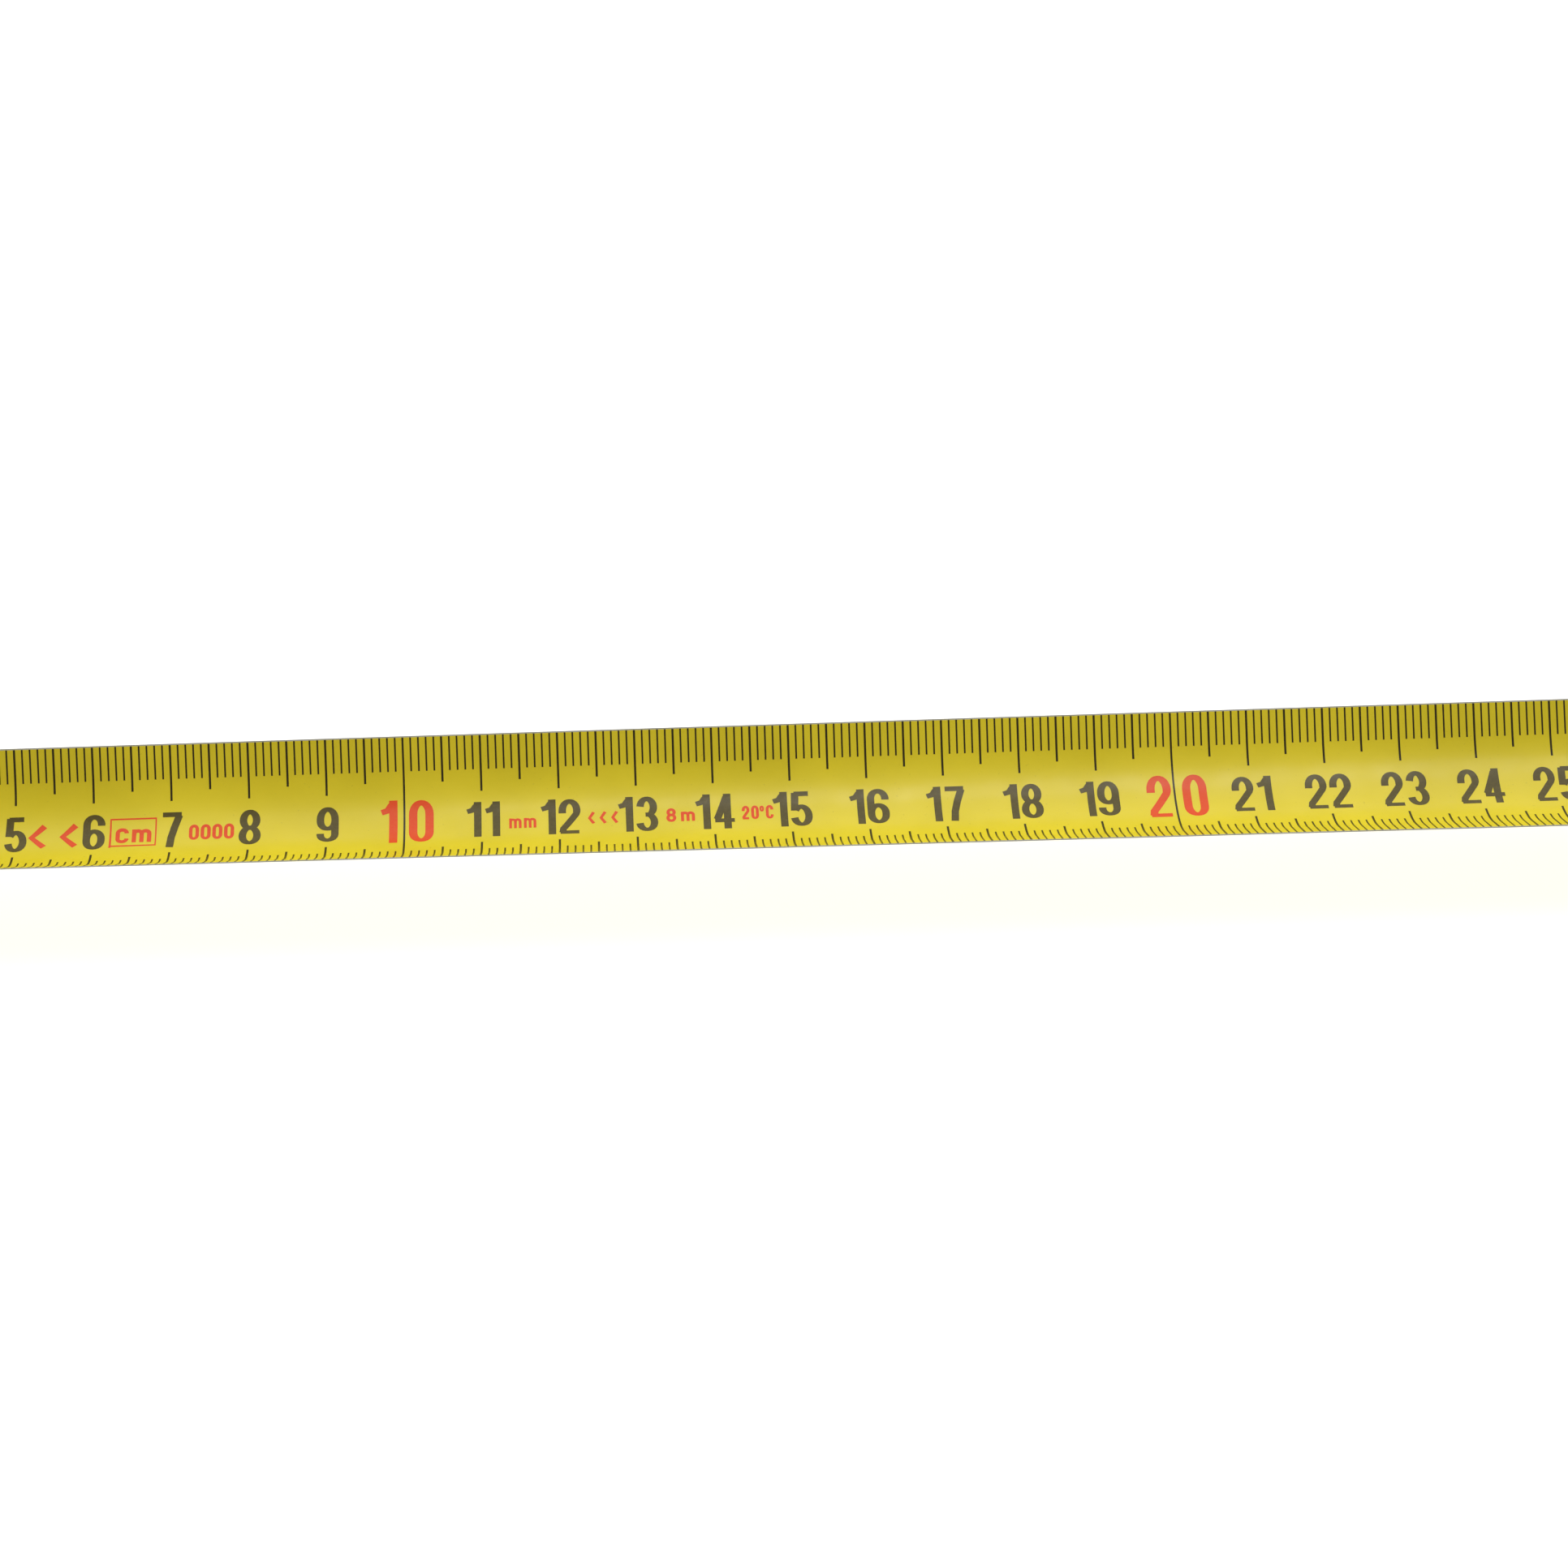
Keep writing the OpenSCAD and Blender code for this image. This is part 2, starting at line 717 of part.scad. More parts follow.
// Sprung arm of the clip, bent out for the belt and back in at its foot: [out, down] of the
// points that its middle line passes through
clip_points = [
    [0, 0], [belt_gap * 0.55, 2.2], [belt_gap + 0.2, 7], [belt_gap + 0.4, clip_drop * 0.55],
    [belt_gap * 0.45, clip_drop * 0.82], [0.2, clip_drop * 0.92],
    [belt_gap * 0.4, clip_drop],
];
bend_steps = 12;

// Smooth curve from point i to the next, t from 0 to 1
function clip_bend(i, t) =
    let (last = len(clip_points) - 1)
    let (before = clip_points[max(i - 1, 0)], from = clip_points[i])
    let (to = clip_points[i + 1], after = clip_points[min(i + 2, last)])
    let (leave = (to - before) / 2, arrive = (after - from) / 2)
    let (t2 = t * t, t3 = t * t * t)
    from * (2 * t3 - 3 * t2 + 1) + leave * (t3 - 2 * t2 + t)
    + to * (3 * t2 - 2 * t3) + arrive * (t3 - t2);
clip_line = concat([for (i = [0:len(clip_points) - 2], k = [0:bend_steps - 1]) clip_bend(i, k / bend_steps)],
                   [clip_points[len(clip_points) - 1]]);
function clip_normal(i) =
    let (last = len(clip_line) - 1, a = clip_line[max(i - 1, 0)], b = clip_line[min(i + 1, last)])
    let (d = unit(b - a)) [-d[1], d[0]];
function clip_side(sign) = [for (i = [0:len(clip_line) - 1])
    let (p = clip_line[i] + sign * clip_thickness / 2 * clip_normal(i))
    [clip_pivot[0] + p[0], clip_pivot[1] - p[1]]];

module belt_clip() {
    color(steel_colour) union() {
        along(-clip_width / 2, clip_width / 2) polygon(concat(clip_side(1), reversed(clip_side(-1))));
        translate([-clip_width / 2, clip_pivot[0], clip_pivot[1]])
            rotate([0, 90, 0]) cylinder(r = clip_thickness / 2, h = clip_width);
    }
}

// ---- the whole tape measure ----

case_left();
case_right();
grip_left();
grip_right();
label();
case_screws();
arbor();
arbor_screw();
mouth_guide();
blade_bed();
hook_bumper();
reel_drum();
reel_cover();
return_spring();
blade_coil();
tail_rivet();
blade();
hook_rivets();
end_hook();
lock_button();
brake_lever();
brake_pad();
lock_spring();
clip_tab();
clip_screw();
belt_clip();
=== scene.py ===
import json
import math

import bmesh
import bpy
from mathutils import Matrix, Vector


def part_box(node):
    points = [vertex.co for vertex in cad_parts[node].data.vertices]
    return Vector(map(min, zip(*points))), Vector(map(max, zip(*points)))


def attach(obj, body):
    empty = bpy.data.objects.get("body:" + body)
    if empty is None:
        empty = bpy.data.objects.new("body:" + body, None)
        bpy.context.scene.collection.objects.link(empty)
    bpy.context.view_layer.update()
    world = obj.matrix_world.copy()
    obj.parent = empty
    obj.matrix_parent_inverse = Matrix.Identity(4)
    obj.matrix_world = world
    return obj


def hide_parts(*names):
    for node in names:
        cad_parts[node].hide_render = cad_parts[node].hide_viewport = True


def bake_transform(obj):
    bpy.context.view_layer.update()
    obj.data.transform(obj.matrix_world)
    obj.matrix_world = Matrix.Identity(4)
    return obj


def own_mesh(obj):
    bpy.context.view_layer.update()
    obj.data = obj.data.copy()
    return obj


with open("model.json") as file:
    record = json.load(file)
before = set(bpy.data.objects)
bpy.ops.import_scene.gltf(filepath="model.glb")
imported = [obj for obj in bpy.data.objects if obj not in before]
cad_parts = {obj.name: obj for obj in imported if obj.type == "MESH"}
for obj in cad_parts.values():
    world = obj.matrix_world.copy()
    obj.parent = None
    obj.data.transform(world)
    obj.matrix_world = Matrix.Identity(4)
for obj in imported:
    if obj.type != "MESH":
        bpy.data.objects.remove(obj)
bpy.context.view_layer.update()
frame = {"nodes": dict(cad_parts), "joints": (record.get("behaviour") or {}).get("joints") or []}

MM = 0.001


# ---- Where the blade lies ----
# The drawn-out blade runs level along X, with its zero mark at the hook and its printed,
# hollow side up. Places along it are counted in millimetres from zero, as its own scale is.

HOOK_THICKNESS = 1.0
TIP_SETBACK = 0.2
BLADE_WIDTH = 25.0
BLADE_THICKNESS = 0.16
tip_low, tail_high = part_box("blade")
zero_x = tip_low.x / MM - HOOK_THICKNESS - TIP_SETBACK
base_z = tip_low.z / MM
nose_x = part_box("grip_left")[0].x / MM
mouth_mark = nose_x - zero_x

FLANK = 4.0
ARC_HALF = BLADE_WIDTH / 2 - FLANK
CURL = 1 / 11.3
CURL_SLACKENING = 0.009 / 100
MIDDLE_MARK = 150.0
HELD_BY_HOOK, HELD_BY_MOUTH = 10.0, 5.0
CURL_SETTLES_OVER = 25.0


def fade(value, start, end):
    """0 before start, 1 after end, and a smooth rise between them."""
    t = min(max((value - start) / (end - start), 0), 1)
    return t * t * (3 - 2 * t)


def curl_at(s):
    """Curvature across the blade: it slackens a little from the hook towards the case."""
    from_hook = fade(s, HELD_BY_HOOK, HELD_BY_HOOK + CURL_SETTLES_OVER)
    from_mouth = fade(mouth_mark - s, HELD_BY_MOUTH, HELD_BY_MOUTH + CURL_SETTLES_OVER)
    return CURL - CURL_SLACKENING * (s - MIDDLE_MARK) * from_hook * from_mouth


def on_blade(s, u, lift=0.0, curl=None):
    """The point s along and u across the blade's underside, lifted towards its printed side."""
    curl = curl_at(s) if curl is None else curl
    arc = min(max(u, -ARC_HALF), ARC_HALF)
    rest = u - arc
    angle = arc * curl
    y = math.sin(angle) / curl + rest * math.cos(angle) - lift * math.sin(angle)
    z = (1 - math.cos(angle)) / curl + rest * math.sin(angle) + lift * math.cos(angle)
    return Vector((zero_x + s, y, base_z + z)) * MM


# ---- Viewpoint ----
# A level shot from above the near edge, square to the blade, that takes in the scale
# from 5 to 25 cm and leaves the hook and the case out on either side. Colours are shown as
# they are, with no film curve, so that the lacquer keeps its full yellow.

SENSOR_MM, LENS_MM = 36, 100.6
NEAREST_SEEN_M = 0.01
VIEW_FROM_MM = (-23.81, -372.96, 426.9)
VIEW_TURN_DEG = (41.584, -0.47, -2.969)

camera = bpy.data.objects.new("viewpoint", bpy.data.cameras.new("viewpoint"))
camera.data.sensor_width = SENSOR_MM
camera.data.lens = LENS_MM
camera.data.clip_start = NEAREST_SEEN_M
camera.location = on_blade(MIDDLE_MARK, 0, BLADE_THICKNESS) + Vector(VIEW_FROM_MM) * MM
camera.rotation_euler = [math.radians(a) for a in VIEW_TURN_DEG]
bpy.context.scene.collection.objects.link(camera)
bpy.context.scene.camera = camera
bpy.context.scene.view_settings.view_transform = "Standard"


# ---- Floor and light ----
# A plain white table with a glow of its own. A wide soft box stands behind, so the far flank of
# the blade is in half shade, and a small one overhead lays a hazy band along the blade.

class Value:
    """A number, colour or vector on its way through a material's nodes."""

    def __init__(self, finish, socket):
        self.finish, self.socket = finish, socket

    def maths(self, operation, *values):
        return self.finish.node("ShaderNodeMath", {"operation": operation}, dict(enumerate(values)))

    def __add__(self, other):
        return self.maths("ADD", self, other)

    def __sub__(self, other):
        return self.maths("SUBTRACT", self, other)

    def __rsub__(self, other):
        return self.maths("SUBTRACT", other, self)

    def __mul__(self, other):
        return self.maths("MULTIPLY", self, other)

    def __truediv__(self, other):
        return self.maths("DIVIDE", self, other)

    def __rtruediv__(self, other):
        return self.maths("DIVIDE", other, self)

    def __pow__(self, other):
        return self.maths("POWER", self, other)

    def __rpow__(self, other):
        return self.maths("POWER", other, self)

    def __mod__(self, other):
        return self.maths("FLOORED_MODULO", self, other)

    def __rmod__(self, other):
        return self.maths("FLOORED_MODULO", other, self)

    def __abs__(self):
        return self.maths("ABSOLUTE", self)

    def __gt__(self, other):
        return self.maths("GREATER_THAN", self, other)

    def __lt__(self, other):
        return self.maths("LESS_THAN", self, other)

    __radd__ = __add__
    __rmul__ = __mul__


NOISE_LOW, NOISE_HIGH = 0.3, 0.7


class Finish:
    """A material on one Principled surface. Constants are set on its sockets by name."""

    def __init__(self, name, **constants):
        self.material = bpy.data.materials.new(name)
        self.material.use_nodes = True
        self.tree = self.material.node_tree
        self.surface = self.tree.nodes["Principled BSDF"]
        for key, value in constants.items():
            self.surface.inputs[key.replace("_", " ")].default_value = value

    def node(self, kind, settings=None, sockets=None, output=0):
        made = self.tree.nodes.new(kind)
        for key, value in (settings or {}).items():
            if key == "stops":
                ramp = made.color_ramp
                while len(ramp.elements) < len(value):
                    ramp.elements.new(0.5)
                for element, (place, colour) in zip(ramp.elements, value):
                    element.position, element.color = place, colour
            else:
                setattr(made, key, value)
        for key, value in (sockets or {}).items():
            if isinstance(value, Value):
                self.tree.links.new(value.socket, made.inputs[key])
            else:
                made.inputs[key].default_value = value
        return Value(self, made.outputs[output])

    def feed(self, name, value):
        self.tree.links.new(value.socket, self.surface.inputs[name])

    def place(self):
        return self.node("ShaderNodeTexCoord", output=3)

    def noise(self, size_mm, detail=3.0, vector=None, roughness=0.5):
        """Cloudy variation from 0 to 1 whose patches are about size_mm across."""
        return self.node("ShaderNodeTexNoise", {}, {
            "Vector": vector or self.place(), "Scale": 1 / (size_mm * MM),
            "Detail": detail, "Roughness": roughness})

    def spread(self, value, low, high, out_low=0.0, out_high=1.0):
        return self.node("ShaderNodeMapRange", {"clamp": True}, {
            "Value": value, "From Min": low, "From Max": high, "To Min": out_low, "To Max": out_high})

    def ranging(self, noise, low, high):
        """A noise stretched to run from low to high over the middle of its own range."""
        return self.spread(noise, NOISE_LOW, NOISE_HIGH, low, high)

    def mix(self, share, first, second):
        return self.node("ShaderNodeMix", {"data_type": "RGBA"}, {0: share, 6: first, 7: second}, 2)

    def bump(self, height, distance_mm, strength=1.0):
        self.feed("Normal", self.node("ShaderNodeBump", {}, {
            "Height": height, "Distance": distance_mm * MM, "Strength": strength}))


FLOOR_SIZE = 6.0
FLOOR_GLOW = 0.7
FLOOR_WHITE = (0.6, 0.6, 0.6, 1)
AIR_STRENGTH = 0.47
floor_mesh = bpy.data.meshes.new("floor")
half = FLOOR_SIZE / 2
floor_mesh.from_pydata([(-half, -half, 0), (half, -half, 0), (half, half, 0), (-half, half, 0)],
                       [], [(0, 1, 2, 3)])
floor = bpy.data.objects.new("floor", floor_mesh)
bpy.context.scene.collection.objects.link(floor)
floor.data.materials.append(Finish(
    "white_floor", Base_Color=FLOOR_WHITE, Roughness=0.9,
    Emission_Color=(1, 1, 1, 1), Emission_Strength=FLOOR_GLOW).material)

world = bpy.data.worlds.new("pale_air")
world.use_nodes = True
world.node_tree.nodes["Background"].inputs["Color"].default_value = (1, 1, 1, 1)
world.node_tree.nodes["Background"].inputs["Strength"].default_value = AIR_STRENGTH
bpy.context.scene.world = world


def soft_box(name, offset, size, power):
    """A rectangle of light, placed by its offset from the blade's middle, which it faces."""
    lamp = bpy.data.objects.new(name, bpy.data.lights.new(name, "AREA"))
    lamp.data.shape = "RECTANGLE"
    lamp.data.size, lamp.data.size_y = size
    lamp.data.energy = power
    lamp.location = on_blade(MIDDLE_MARK, 0) + Vector(offset)
    lamp.rotation_euler = (-Vector(offset)).to_track_quat("-Z", "Y").to_euler()
    bpy.context.scene.collection.objects.link(lamp)


soft_box("back_soft_box", offset=(0.05, 1.45, 1.21), size=(2.2, 2.0), power=24)
soft_box("overhead_soft_box", offset=(0.2, 0.22, 1.08), size=(0.6, 0.3), power=4)


# ---- Blade ----
# A strip of hardened spring steel, curled across its width so that it stays stiff. It is
# lacquered yellow on both faces, clear-coated over the print, and bare on its cut edges.

BARE_EDGE_MM, EDGE_WANDER_MM, EDGE_BLEND_MM = 0.16, 0.08, 0.05
LACQUER_DEEP = (0.66, 0.535, 0.008, 1)
LACQUER_PALE = (0.72, 0.585, 0.012, 1)
BARE_STEEL = (0.42, 0.42, 0.38, 1)
DUST = (0.25, 0.20, 0.01, 1)
DUST_SHARE = 0.25
ACROSS = 36
STATION_STEP = 2.0
TIP_CORNER, TIP_CORNER_SLOPE = 3.0, 0.8
CREASE_DEG = 50
UV_LENGTH_MM = 300
COAT_ROUGHNESS = 0.22


def lacquer():
    paint = Finish("yellow_lacquer", Specular_IOR_Level=0.3, Coat_Weight=0.12,
                   Coat_Roughness=COAT_ROUGHNESS)
    where = paint.node("ShaderNodeUVMap", {"uv_map": "blade"})
    split = paint.node("ShaderNodeSeparateXYZ", {}, {0: where}, 1)
    rim = abs(split - 0.5) * BLADE_WIDTH
    bare_from = BLADE_WIDTH / 2 - BARE_EDGE_MM
    bare = paint.spread(rim + paint.noise(0.6) * EDGE_WANDER_MM, bare_from, bare_from + EDGE_BLEND_MM)
    clouds = paint.noise(14, 4)
    coat = paint.mix(paint.spread(clouds, 0.35, 0.65), LACQUER_DEEP, LACQUER_PALE)
    specks = paint.spread(paint.noise(0.35, 2), 0.70, 0.76)
    dusty = paint.mix(specks * DUST_SHARE, coat, DUST)
    paint.feed("Base Color", paint.mix(bare, dusty, BARE_STEEL))
    paint.feed("Roughness", paint.ranging(paint.noise(3, 5), 0.36, 0.50))
    paint.bump(paint.noise(0.9, 3) + bare * -1.5, 0.012, 0.6)
    return paint.material


def strip_mesh(name, marks, half_width, curl_of, material):
    """A closed strip through the marks, with UVs that tell the lacquer where the edges are."""
    mesh = bmesh.new()
    layer = mesh.loops.layers.uv.new("blade")
    rings, places = [], {}
    for s in marks:
        ring = []
        for lift in (0, BLADE_THICKNESS):
            order = range(ACROSS + 1) if lift == 0 else range(ACROSS, -1, -1)
            for i in order:
                u = half_width(s) * (2 * i / ACROSS - 1)
                vert = mesh.verts.new(on_blade(s, u, lift, curl_of(s)))
                places[vert] = (s / UV_LENGTH_MM, u / BLADE_WIDTH + 0.5)
                ring.append(vert)
        rings.append(ring)
    count = len(rings[0])
    for a, b in zip(rings, rings[1:]):
        for i in range(count):
            j = (i + 1) % count
            mesh.faces.new((a[i], b[i], b[j], a[j]))
    for ring, flip in ((rings[0], False), (rings[-1], True)):
        for i in range(ACROSS):
            face = (ring[i], ring[i + 1], ring[count - 2 - i], ring[count - 1 - i])
            mesh.faces.new(face[::-1] if flip else face)
    bmesh.ops.recalc_face_normals(mesh, faces=mesh.faces)
    for face in mesh.faces:
        face.smooth = True
        for loop in face.loops:
            loop[layer].uv = places[loop.vert]
    for edge in mesh.edges:
        edge.smooth = not (edge.is_manifold and edge.calc_face_angle(0) > math.radians(CREASE_DEG))
    made = bpy.data.meshes.new(name)
    mesh.to_mesh(made)
    mesh.free()
    made.materials.append(material)
    strip = bpy.data.objects.new(name, made)
    bpy.context.scene.collection.objects.link(strip)
    return strip


def half_width_at(s):
    """The blade's end has its corners cut off under the hook."""
    return BLADE_WIDTH / 2 - max(0, TIP_CORNER + HOOK_THICKNESS - s) * TIP_CORNER_SLOPE


tip_mark = HOOK_THICKNESS + TIP_SETBACK
bed_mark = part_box("brake_pad")[0].x / MM - zero_x
coil_mark = tail_high.x / MM - zero_x
FLAT_BEFORE_COIL = 9.0
TONGUE_CLEARANCE = 1.6
firm_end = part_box("end_hook")[1].x / MM - zero_x + TONGUE_CLEARANCE
travel = next(j for j in frame["joints"] if j["name"] == "blade_slide")["range_m"][1]
kept_share = 1 - travel / ((bed_mark - firm_end) * MM)
run_start = on_blade(firm_end, 0)


def slides_home(piece):
    """Rides a piece on the blade's run, with a mesh of its own. The real blade winds up as it goes home.
    """
    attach(piece, "blade_run")
    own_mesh(piece)


def stations(start, end):
    count = round((end - start) / STATION_STEP)
    return [start + (end - start) * i / count for i in range(count + 1)]


yellow = lacquer()
blade_tip = strip_mesh("blade_tip_strip", stations(tip_mark, firm_end), half_width_at, curl_at, yellow)
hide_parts("blade")
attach(blade_tip, "blade_run")
blade_run = strip_mesh("blade_run_strip", stations(firm_end, bed_mark), half_width_at, curl_at, yellow)
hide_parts("blade")
slides_home(blade_run)


NEARLY_FLAT = CURL / 1000


def flattening_curl(s):
    """Past the brake the blade flattens, so that it can wind onto the reel."""
    return max(CURL * (1 - fade(s, bed_mark, coil_mark - FLAT_BEFORE_COIL)), NEARLY_FLAT)


blade_tail = strip_mesh("blade_tail_strip", stations(bed_mark, coil_mark), half_width_at,
                        flattening_curl, yellow)
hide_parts("blade")
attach(blade_tail, "case")


# ---- Printed scale ----
# Black ticks for each millimetre from both edges, a line right across at each decimetre,
# black centimetre figures and larger red decimetre figures, all under the clear coat.

INK_LIFT = 0.012
INK_ROOT = -0.05
INK_COAT = 0.08
TICK_WIDTH = 0.22
LONG_TICK_WIDTH = 0.28
DECIMETRE_WIDTH = 0.26
FAR_TICK_ENDS = {"millimetre": 7.9, "half": 6.4, "centimetre": 5.0}
NEAR_TICK_ENDS = {"millimetre": -5.8, "half": -4.7, "centimetre": -3.7}
EDGE_MARGIN = 0.18
INK_SLICE = 0.5
FIRST_MARK, LAST_MARK = 3, 292
FIRST_FIGURE = 2
FIGURE_LOW, FIGURE_HIGH = -2.43, 3.43
DECIMETRE_LOW, DECIMETRE_HIGH = -3.14, 3.99
FIGURE_WIDTH = 2.85
DECIMETRE_FIGURE_WIDTH = 3.2
FIGURE_GAP = 0.35
FIGURE_SHIFT = 0.12
DECIMETRE_FIGURE_GAP = 1.46
DECIMETRE_FIGURE_SHIFT = 0.3


def ink(name, colour, worn_colour):
    paint = Finish(name, Specular_IOR_Level=0.2, Coat_Weight=INK_COAT, Coat_Roughness=COAT_ROUGHNESS)
    worn = paint.spread(paint.noise(0.5, 4), 0.45, 0.8, 0, 0.6)
    paint.feed("Base Color", paint.mix(worn, colour, worn_colour))
    paint.feed("Roughness", paint.ranging(paint.noise(1.5), 0.30, 0.42))
    paint.bump(paint.noise(0.9, 3), 0.008, 0.5)
    return paint.material


tick_ink = ink("tick_ink", (0.030, 0.022, 0.002, 1), (0.050, 0.038, 0.004, 1))
black_ink = ink("black_ink", (0.075, 0.055, 0.002, 1), (0.115, 0.088, 0.007, 1))
red_ink = ink("red_ink", (0.72, 0.060, 0.003, 1), (0.70, 0.095, 0.006, 1))


def over_blade(s, u, lift):
    return on_blade(s, u, BLADE_THICKNESS + lift)


def printed(name, flat, material, surface=over_blade):
    """Turns a flat drawing in (s, u) into a thin closed layer that follows a surface."""
    low = min(v.co.y for v in flat.verts)
    high = max(v.co.y for v in flat.verts)
    for i in range(1, math.ceil((high - low) / INK_SLICE)):
        cut = (0, low + i * INK_SLICE, 0)
        bmesh.ops.bisect_plane(flat, geom=flat.verts[:] + flat.edges[:] + flat.faces[:],
                               plane_co=cut, plane_no=(0, 1, 0))
    top = bmesh.ops.extrude_face_region(flat, geom=flat.faces[:])["geom"]
    lifted = {v for v in top if isinstance(v, bmesh.types.BMVert)}
    for v in flat.verts:
        v.co = surface(v.co.x, v.co.y, v.co.z + (INK_LIFT if v in lifted else INK_ROOT))
    bmesh.ops.recalc_face_normals(flat, faces=flat.faces)
    mesh = bpy.data.meshes.new(name)
    flat.to_mesh(mesh)
    flat.free()
    mesh.materials.append(material)
    layer = bpy.data.objects.new(name, mesh)
    bpy.context.scene.collection.objects.link(layer)
    return layer


def printed_on_blade(name, flat, material, firm=False):
    """Prints a drawing on the blade's firm end or on its run, and makes it go with that."""
    layer = printed(name, flat, material)
    if firm:
        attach(layer, "blade_run")
    else:
        slides_home(layer)


def oblong(flat, s0, s1, u0, u1):
    flat.faces.new([flat.verts.new((s, u, 0)) for s, u in ((s0, u0), (s1, u0), (s1, u1), (s0, u1))])


def tick_kind(mark):
    return "centimetre" if mark % 10 == 0 else "half" if mark % 5 == 0 else "millimetre"


def print_ticks(name, marks, ends, edge, firm):
    flat = bmesh.new()
    for mark in marks:
        if mark % 100 == 0:
            continue
        kind = tick_kind(mark)
        width = TICK_WIDTH if kind == "millimetre" else LONG_TICK_WIDTH
        oblong(flat, mark - width / 2, mark + width / 2, min(edge, ends[kind]), max(edge, ends[kind]))
    printed_on_blade(name, flat, tick_ink, firm)


edge_u = BLADE_WIDTH / 2 - EDGE_MARGIN
last_firm_mark = int(firm_end)
for side, ends, edge in (("far", FAR_TICK_ENDS, edge_u), ("near", NEAR_TICK_ENDS, -edge_u)):
    print_ticks("tip_ticks_" + side, range(FIRST_MARK, last_firm_mark + 1), ends, edge, True)
    print_ticks("ticks_" + side, range(last_firm_mark + 1, LAST_MARK), ends, edge, False)
flat = bmesh.new()
for mark in range(100, LAST_MARK, 100):
    oblong(flat, mark - DECIMETRE_WIDTH / 2, mark + DECIMETRE_WIDTH / 2, -edge_u, edge_u)
printed_on_blade("decimetre_lines", flat, tick_ink)


TURN_STEP_DEG = 15
SAME_POINT = 1e-6
STROKE_STEP = 0.006


def turn(x, y, rx, ry, start, end):
    """Points round part of an ellipse, from one angle to another, in degrees."""
    count = max(2, round(abs(end - start) / TURN_STEP_DEG))
    angles = [math.radians(start + (end - start) * i / count) for i in range(count + 1)]
    return [(x + rx * math.cos(a), y + ry * math.sin(a)) for a in angles]


def upside_down(strokes):
    return [[(1 - x, 1 - y) for x, y in stroke] for stroke in strokes]


# Each sign of the type is a list of strokes in a square of 1 by 1. A straight stroke runs FOOT
# past the square, because only a round one fills it to its rim.
FOOT = 0.07
SIX = [turn(0.5, 0.78, 0.5, 0.22, -8, 180) + turn(0.5, 0.28, 0.5, 0.28, 180, 360)
       + turn(0.5, 0.34, 0.5, 0.24, 0, 175)]
TYPE = {
    "0": [turn(0.5, 0.74, 0.5, 0.26, 0, 180) + turn(0.5, 0.26, 0.5, 0.26, 180, 360) + [(1, 0.74)]],
    "1": [[(1, -FOOT), (1, 1 + FOOT)], [(-0.25, 0.80), (0.35, 0.84), (0.7, 0.93), (1, 1.0)]],
    "2": [[(0, 0.66)] + turn(0.5, 0.74, 0.5, 0.26, 180, -25) + [(0.06, 0.14), (0.02, 0)],
          [(-0.15, 0), (1.14, 0)]],
    "3": [turn(0.5, 0.76, 0.46, 0.24, 175, -70) + [(0.4, 0.53)],
          [(0.4, 0.53), (0.6, 0.53)] + turn(0.5, 0.27, 0.5, 0.27, 75, -175)],
    "4": [[(0.72, -FOOT), (0.72, 1 + FOOT)], [(0.66, 0.98), (0.0, 0.30)], [(-0.15, 0.25), (1.2, 0.25)]],
    "5": [[(0.02, 1), (1.02, 1)], [(0.10, 1.03), (0.04, 0.50)], turn(0.5, 0.31, 0.5, 0.31, 140, -170)],
    "6": SIX,
    "7": [[(-0.15, 1), (1.14, 1)], [(0.98, 0.98), (0.66, 0.62), (0.46, 0.30), (0.38, -FOOT)]],
    "8": [turn(0.5, 0.765, 0.45, 0.235, 0, 360), turn(0.5, 0.27, 0.5, 0.27, 0, 360)],
    "9": upside_down(SIX),
    "C": [turn(0.5, 0.74, 0.5, 0.26, -5, 180) + turn(0.5, 0.26, 0.5, 0.26, 180, 365)],
    "m": [[(0, -FOOT), (0, 0.78)], [(0, 0.45)] + turn(0.25, 0.5, 0.25, 0.18, 180, 0) + [(0.5, -FOOT)],
          [(0.5, 0.45)] + turn(0.75, 0.5, 0.25, 0.18, 180, 0) + [(1, -FOOT)]],
    "\u00b0": [turn(0.5, 0.8, 0.5, 0.17, 0, 360)],
    "arrow": [[(0.9, 1), (0.1, 0.5), (0.9, 0)]],
    "box": [[(0, -FOOT), (0, 1), (1, 1), (1, 0), (-0.02, 0)]],
}


def inked_stroke(flat, points, upright, level, layer):
    """A ribbon of ink, upright wide where it climbs and level wide where it runs flat."""
    closed = math.dist(points[0], points[-1]) < SAME_POINT
    pairs = []
    for i, (s, u) in enumerate(points):
        before = points[i - 1] if i else points[-2] if closed else points[0]
        after = points[i + 1] if i + 1 < len(points) else points[1] if closed else points[-1]
        ds, du = after[0] - before[0], after[1] - before[1]
        length = math.hypot(ds, du)
        ds, du = ds / length, du / length
        reach = math.hypot(upright * du, level * ds) / 2
        pairs.append([flat.verts.new((s - du * reach * k, u + ds * reach * k, layer * STROKE_STEP))
                      for k in (1, -1)])
    for (a, b), (c, d) in zip(pairs, pairs[1:]):
        flat.faces.new((b, d, c, a))


def stamp(flat, sign, s0, s1, u0, u1, upright, level):
    """Draws a sign of the type within the oblong from s0 to s1 and from u0 to u1."""
    left, wide = s0 + upright / 2, s1 - s0 - upright
    low, tall = u0 + level / 2, u1 - u0 - level
    for layer, stroke in enumerate(TYPE[sign]):
        inked_stroke(flat, [(left + x * wide, low + y * tall) for x, y in stroke], upright, level, layer)


STEM_SHARE = 0.34
LEVEL_SHARE = 0.24
ONE_SHARE = 0.72


